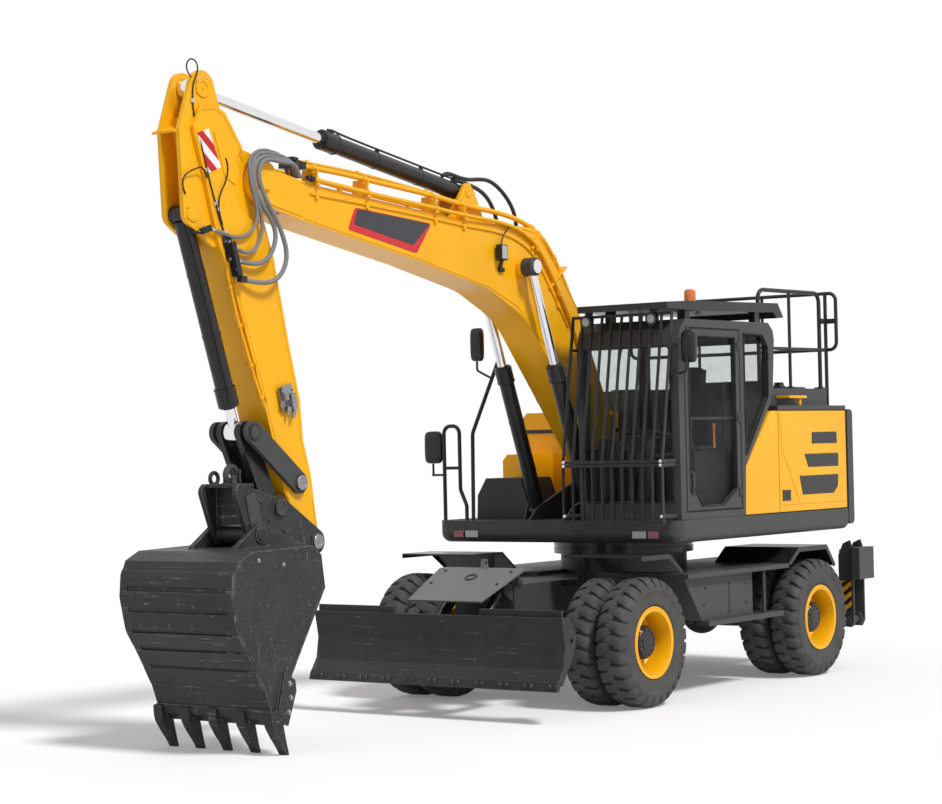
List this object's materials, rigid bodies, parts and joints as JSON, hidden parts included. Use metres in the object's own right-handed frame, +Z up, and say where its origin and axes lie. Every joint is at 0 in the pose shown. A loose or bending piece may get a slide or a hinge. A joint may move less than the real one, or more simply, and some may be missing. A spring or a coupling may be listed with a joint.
{
  "type": "wheeled excavator",
  "caption": "Wheeled excavator with an arched boom and dipper arm, quick-coupler bucket, dozer blade, rear outriggers and twin-tyre axles, all on real joints.",
  "frame": {"origin": "on the ground, under the middle of the overall length and width", "axes": "+X forward, towards the blade and bucket; +Y to the left, the cab side; +Z up"},
  "size_m": [8.037, 2.8, 4.856],
  "materials": {
    "yellow_paint": "semi-gloss paint",
    "dark_paint": "satin paint",
    "tool_steel": "worn satin paint",
    "tyre_rubber": "matt",
    "polished_rod": "polished",
    "glass": "clear, tinted",
    "rail_grey": "satin paint",
    "engine_iron": "cast",
    "interior_plastic": "matt"
  },
  "bodies": {
    "chassis": {"chassis_frame": "dark_paint", "slew_ring": "dark_paint", "fenders": "dark_paint", "side_boxes": "dark_paint", "drive_line": "dark_paint", "front_axle": "dark_paint", "rear_axle": "dark_paint", "blade_cover": "yellow_paint"},
    "steering_left": {"knuckle_left": "dark_paint"},
    "steering_right": {"knuckle_right": "dark_paint"},
    "steering_rod": {"steering_rod": "polished_rod"},
    "wheels_front_left": {"tyres_front_left": "tyre_rubber", "rims_front_left": "yellow_paint"},
    "wheels_front_right": {"tyres_front_right": "tyre_rubber", "rims_front_right": "yellow_paint"},
    "wheels_rear_left": {"tyres_rear_left": "tyre_rubber", "rims_rear_left": "yellow_paint"},
    "wheels_rear_right": {"tyres_rear_right": "tyre_rubber", "rims_rear_right": "yellow_paint"},
    "blade": {"dozer_blade": "dark_paint"},
    "blade_barrels": {"blade_barrels": "dark_paint"},
    "blade_rods": {"blade_rods": "polished_rod"},
    "outrigger_left": {"outrigger_leg_left": "dark_paint"},
    "outrigger_left_barrel": {"outrigger_barrel_left": "dark_paint"},
    "outrigger_left_rod": {"outrigger_rod_left": "polished_rod"},
    "outrigger_right": {"outrigger_leg_right": "dark_paint"},
    "outrigger_right_barrel": {"outrigger_barrel_right": "dark_paint"},
    "outrigger_right_rod": {"outrigger_rod_right": "polished_rod"},
    "upper": {"platform": "dark_paint", "counterweight": "dark_paint", "engine": "engine_iron", "engine_bay_frame": "yellow_paint", "fuel_tank": "yellow_paint", "tool_box": "dark_paint", "cab_shell": "dark_paint", "cab_glass": "glass", "cab_roof": "dark_paint", "front_guard": "dark_paint", "cab_interior": "interior_plastic", "handrails": "rail_grey", "mirrors": "dark_paint"},
    "cab_door": {"cab_door": "dark_paint", "door_glass": "glass"},
    "left_rear_door": {"left_rear_door": "yellow_paint"},
    "left_middle_door": {"left_mid_door": "yellow_paint"},
    "right_door": {"right_door": "yellow_paint"},
    "engine_hood": {"engine_hood": "yellow_paint"},
    "boom": {"boom": "yellow_paint"},
    "boom_barrels": {"boom_barrels": "yellow_paint"},
    "boom_rods": {"boom_rods": "polished_rod"},
    "arm": {"arm": "yellow_paint"},
    "arm_barrel": {"arm_barrel": "yellow_paint"},
    "arm_rod": {"arm_rod": "polished_rod"},
    "bucket": {"bucket": "tool_steel", "coupler": "tool_steel"},
    "rocker_links": {"rocker_links": "tool_steel"},
    "connecting_link": {"connecting_link": "tool_steel"},
    "bucket_barrel": {"bucket_barrel": "yellow_paint"},
    "bucket_rod": {"bucket_rod": "polished_rod"}
  },
  "joints": [
    {"name": "steering_left", "type": "hinge", "parent": "chassis", "child": "steering_left", "pos_m": [-0.0635, 0.61, 0.526], "axis": [0, 0, 1], "range_deg": [-30, 30]},
    {"name": "steering_right", "type": "hinge", "parent": "chassis", "child": "steering_right", "pos_m": [-0.0635, -0.61, 0.526], "axis": [0, 0, 1], "range_deg": [-30, 30]},
    {"name": "steering_rod_slide", "type": "slide", "parent": "chassis", "child": "steering_rod", "axis": [0, -1, 0], "range_m": [-0.087, 0.087]},
    {"name": "wheel_front_left_spin", "type": "hinge", "parent": "steering_left", "child": "wheels_front_left", "pos_m": [-0.0635, 0.967, 0.526], "axis": [0, 1, 0], "continuous": true},
    {"name": "wheel_front_right_spin", "type": "hinge", "parent": "steering_right", "child": "wheels_front_right", "pos_m": [-0.0635, -0.967, 0.526], "axis": [0, 1, 0], "continuous": true},
    {"name": "wheel_rear_left_spin", "type": "hinge", "parent": "chassis", "child": "wheels_rear_left", "pos_m": [-2.9035, 0.967, 0.526], "axis": [0, 1, 0], "continuous": true},
    {"name": "wheel_rear_right_spin", "type": "hinge", "parent": "chassis", "child": "wheels_rear_right", "pos_m": [-2.9035, -0.967, 0.526], "axis": [0, 1, 0], "continuous": true},
    {"name": "blade_lift", "type": "hinge", "parent": "chassis", "child": "blade", "pos_m": [0.4765, 0, 0.6], "axis": [0, -1, 0], "range_deg": [-24, 10]},
    {"name": "blade_barrel_swing", "type": "hinge", "parent": "chassis", "child": "blade_barrels", "pos_m": [0.6015, 0, 0.985], "axis": [0, -1, 0], "range_deg": [-16.82, 7.59]},
    {"name": "blade_rod_slide", "type": "slide", "parent": "blade_barrels", "child": "blade_rods", "axis": [0.6986, 0, -0.7155], "range_m": [-0.0625, 0.1459]},
    {"name": "outrigger_left_swing", "type": "hinge", "parent": "chassis", "child": "outrigger_left", "pos_m": [-3.8635, 1.08, 0.43], "axis": [-1, 0, 0], "range_deg": [0, 120]},
    {"name": "outrigger_left_barrel_swing", "type": "hinge", "parent": "chassis", "child": "outrigger_left_barrel", "pos_m": [-3.8635, 0.43, 0.89], "axis": [1, 0, 0], "range_deg": [-9.86, 0]},
    {"name": "outrigger_left_rod_slide", "type": "slide", "parent": "outrigger_left_barrel", "child": "outrigger_left_rod", "axis": [0, 0.9286, -0.3711], "range_m": [0, 0.3878]},
    {"name": "outrigger_right_swing", "type": "hinge", "parent": "chassis", "child": "outrigger_right", "pos_m": [-3.8635, -1.08, 0.43], "axis": [1, 0, 0], "range_deg": [0, 120]},
    {"name": "outrigger_right_barrel_swing", "type": "hinge", "parent": "chassis", "child": "outrigger_right_barrel", "pos_m": [-3.8635, -0.43, 0.89], "axis": [-1, 0, 0], "range_deg": [-9.86, 0]},
    {"name": "outrigger_right_rod_slide", "type": "slide", "parent": "outrigger_right_barrel", "child": "outrigger_right_rod", "axis": [0, -0.9286, -0.3711], "range_m": [0, 0.3878]},
    {"name": "swing", "type": "hinge", "parent": "chassis", "child": "upper", "pos_m": [-1.5835, 0, 1.3], "axis": [0, 0, 1], "continuous": true},
    {"name": "cab_door_swing", "type": "hinge", "parent": "upper", "child": "cab_door", "pos_m": [-1.5635, 1.235, 2.3], "axis": [0, 0, 1], "range_deg": [0, 165]},
    {"name": "left_rear_door_swing", "type": "hinge", "parent": "upper", "child": "left_rear_door", "pos_m": [-3.5005, 1.235, 1.9], "axis": [0, 0, 1], "range_deg": [0, 105]},
    {"name": "left_middle_door_swing", "type": "hinge", "parent": "upper", "child": "left_middle_door", "pos_m": [-2.2185, 1.235, 1.9], "axis": [0, 0, -1], "range_deg": [-95, 0]},
    {"name": "right_door_swing", "type": "hinge", "parent": "upper", "child": "right_door", "pos_m": [-3.5005, -1.235, 1.9], "axis": [0, 0, -1], "range_deg": [0, 105]},
    {"name": "engine_hood_lift", "type": "hinge", "parent": "upper", "child": "engine_hood", "pos_m": [-3.4805, 0, 2.625], "axis": [0, -1, 0], "range_deg": [0, 75]},
    {"name": "boom_lift", "type": "hinge", "parent": "upper", "child": "boom", "pos_m": [-1.5635, -0.14, 1.75], "axis": [0, -1, 0], "range_deg": [-40, 25]},
    {"name": "boom_barrel_swing", "type": "hinge", "parent": "upper", "child": "boom_barrels", "pos_m": [-0.8605, -0.14, 1.565], "axis": [0, -1, 0], "range_deg": [-44.26, 28.04]},
    {"name": "boom_rod_slide", "type": "slide", "parent": "boom_barrels", "child": "boom_rods", "axis": [0.3694, 0, 0.9293], "range_m": [-0.45, 0.2824]},
    {"name": "arm_swing", "type": "hinge", "parent": "boom", "child": "arm", "pos_m": [3.1895, -0.14, 4.098], "axis": [0, 1, 0], "range_deg": [-82, 10]},
    {"name": "arm_barrel_swing", "type": "hinge", "parent": "boom", "child": "arm_barrel", "pos_m": [0.5875, -0.14, 4.225], "axis": [0, -1, 0], "range_deg": [-1.92, 8.56]},
    {"name": "arm_rod_slide", "type": "slide", "parent": "arm_barrel", "child": "arm_rod", "axis": [0.9875, 0, 0.1577], "range_m": [-1.0671, 0.1328]},
    {"name": "bucket_curl", "type": "hinge", "parent": "arm", "child": "bucket", "pos_m": [2.6935, -0.14, 1.462], "axis": [0, 1, 0], "range_deg": [-8, 88]},
    {"name": "rocker_swing", "type": "hinge", "parent": "arm", "child": "rocker_links", "pos_m": [2.8655, -0.14, 1.902], "axis": [0, -1, 0], "range_deg": [-75.67, 7.79]},
    {"name": "link_swing", "type": "hinge", "parent": "rocker_links", "child": "connecting_link", "pos_m": [3.3615, -0.14, 2.281], "axis": [0, -1, 0], "range_deg": [-6.43, 60.74]},
    {"name": "bucket_barrel_swing", "type": "hinge", "parent": "arm", "child": "bucket_barrel", "pos_m": [3.8825, -0.14, 3.83], "axis": [0, -1, 0], "range_deg": [-1.53, 6.88]},
    {"name": "bucket_rod_slide", "type": "slide", "parent": "bucket_barrel", "child": "bucket_rod", "axis": [-0.3188, 0, -0.9478], "range_m": [-0.0693, 0.7328]}
  ],
  "couplings": [
    {"joint": "steering_right", "follows": "steering_left", "ratio": 1},
    {"joint": "steering_rod_slide", "follows": "steering_left", "m_per_rad": 0.16234},
    {"joint": "blade_barrel_swing", "follows": "blade_lift", "ratio": 0.65923},
    {"joint": "blade_rod_slide", "follows": "blade_lift", "m_per_rad": -0.34116},
    {"joint": "outrigger_left_barrel_swing", "follows": "outrigger_left_swing", "ratio": -0.073795},
    {"joint": "outrigger_left_rod_slide", "follows": "outrigger_left_swing", "m_per_rad": 0.18371},
    {"joint": "outrigger_right_barrel_swing", "follows": "outrigger_right_swing", "ratio": -0.073795},
    {"joint": "outrigger_right_rod_slide", "follows": "outrigger_right_swing", "m_per_rad": 0.18371},
    {"joint": "boom_barrel_swing", "follows": "boom_lift", "ratio": 1.0815},
    {"joint": "boom_rod_slide", "follows": "boom_lift", "m_per_rad": 0.64027},
    {"joint": "arm_barrel_swing", "follows": "arm_swing", "ratio": -0.092172},
    {"joint": "arm_rod_slide", "follows": "arm_swing", "m_per_rad": 0.7435},
    {"joint": "rocker_swing", "follows": "bucket_curl", "ratio": -0.84848},
    {"joint": "link_swing", "follows": "bucket_curl", "ratio": 0.67892},
    {"joint": "bucket_barrel_swing", "follows": "bucket_curl", "ratio": 0.066766},
    {"joint": "bucket_rod_slide", "follows": "bucket_curl", "m_per_rad": 0.47518}
  ]
}
